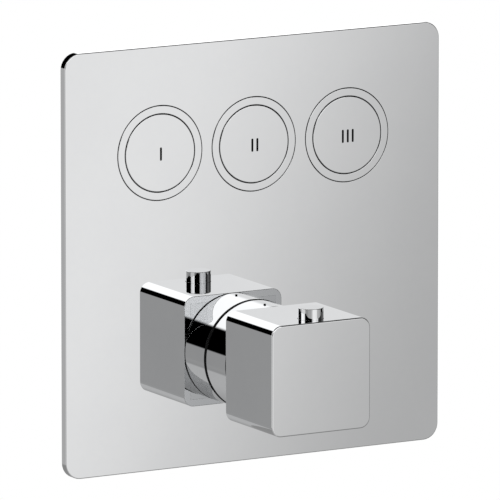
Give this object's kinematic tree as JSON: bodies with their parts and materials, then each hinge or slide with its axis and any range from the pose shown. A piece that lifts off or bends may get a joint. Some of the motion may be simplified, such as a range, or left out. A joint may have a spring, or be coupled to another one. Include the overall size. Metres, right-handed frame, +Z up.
{
  "type": "thermostatic shower valve",
  "caption": "Concealed thermostatic shower valve with a square wall plate, a row of round push buttons and a cube-shaped temperature knob with a safety stop.",
  "frame": {"origin": "middle of the cover plate's back, on the finished wall's plane", "axes": "+X to the right seen from the front, +Z up, -Y out of the wall towards the user"},
  "size_m": [0.21, 0.1415, 0.21],
  "materials": {
    "chrome": "polished chrome plate",
    "brass": "plain cast and turned brass",
    "steel": "stainless steel",
    "rubber": "matt rubber",
    "seal_foam": "closed-cell foam",
    "black_plastic": "moulded plastic",
    "copper": "copper thermal element"
  },
  "bodies": {
    "valve": {"cover_plate": "chrome", "plate_seal": "seal_foam", "button_rings": "chrome", "shutoff_cartridges": "brass", "outlet_manifold": "brass", "mixer_body": "brass", "transfer_tube": "brass", "check_valves": "black_plastic", "fixing_bracket": "steel", "cartridge_housing": "brass", "cartridge_nut": "brass", "index_collar": "chrome", "stop_ring": "black_plastic", "button_spring_1": "steel", "button_spring_2": "steel", "button_spring_3": "steel", "return_spring": "steel"},
    "button_1": {"button_cap_1": "chrome", "push_rod_1": "steel", "valve_washer_1": "rubber"},
    "button_2": {"button_cap_2": "chrome", "push_rod_2": "steel", "valve_washer_2": "rubber"},
    "button_3": {"button_cap_3": "chrome", "push_rod_3": "steel", "valve_washer_3": "rubber"},
    "knob": {"knob_body": "chrome", "knob_back_cover": "chrome", "splined_insert": "brass", "grub_screw": "steel", "spindle": "brass", "stop_spring": "steel"},
    "safety_button": {"stop_button": "chrome", "stop_slider": "black_plastic"},
    "setting": {"setting_nut": "brass", "overload_spring": "steel", "element_plunger": "steel"},
    "thermostat": {"wax_element": "copper", "shuttle": "black_plastic"}
  },
  "joints": [
    {"name": "button_1_press", "type": "slide", "parent": "valve", "child": "button_1", "axis": [0, 1, 0], "range_m": [0, 0.0035], "stiffness_N_per_m": 800, "springref_m": -0.005, "deforming": ["button_spring_1"]},
    {"name": "button_2_press", "type": "slide", "parent": "valve", "child": "button_2", "axis": [0, 1, 0], "range_m": [0, 0.0035], "stiffness_N_per_m": 800, "springref_m": -0.005, "deforming": ["button_spring_2"]},
    {"name": "button_3_press", "type": "slide", "parent": "valve", "child": "button_3", "axis": [0, 1, 0], "range_m": [0, 0.0035], "stiffness_N_per_m": 800, "springref_m": -0.005, "deforming": ["button_spring_3"]},
    {"name": "knob_turn", "type": "hinge", "parent": "valve", "child": "knob", "pos_m": [0, -0.048, -0.0525], "axis": [0, 1, 0], "range_deg": [0, 200]},
    {"name": "safety_stop_press", "type": "slide", "parent": "knob", "child": "safety_button", "axis": [0, 0, -1], "range_m": [0, 0.003], "stiffness_N_per_m": 300, "springref_m": -0.004, "deforming": ["stop_spring"]},
    {"name": "setting_nut_travel", "type": "slide", "parent": "valve", "child": "setting", "axis": [0, 1, 0], "range_m": [0, 0.0023]},
    {"name": "shuttle_travel", "type": "slide", "parent": "valve", "child": "thermostat", "axis": [0, 1, 0], "range_m": [-0.0004, 0.0004], "stiffness_N_per_m": 1000, "deforming": ["return_spring"]}
  ],
  "couplings": [
    {"joint": "setting_nut_travel", "follows": "knob_turn", "m_per_rad": 0.00063662}
  ]
}
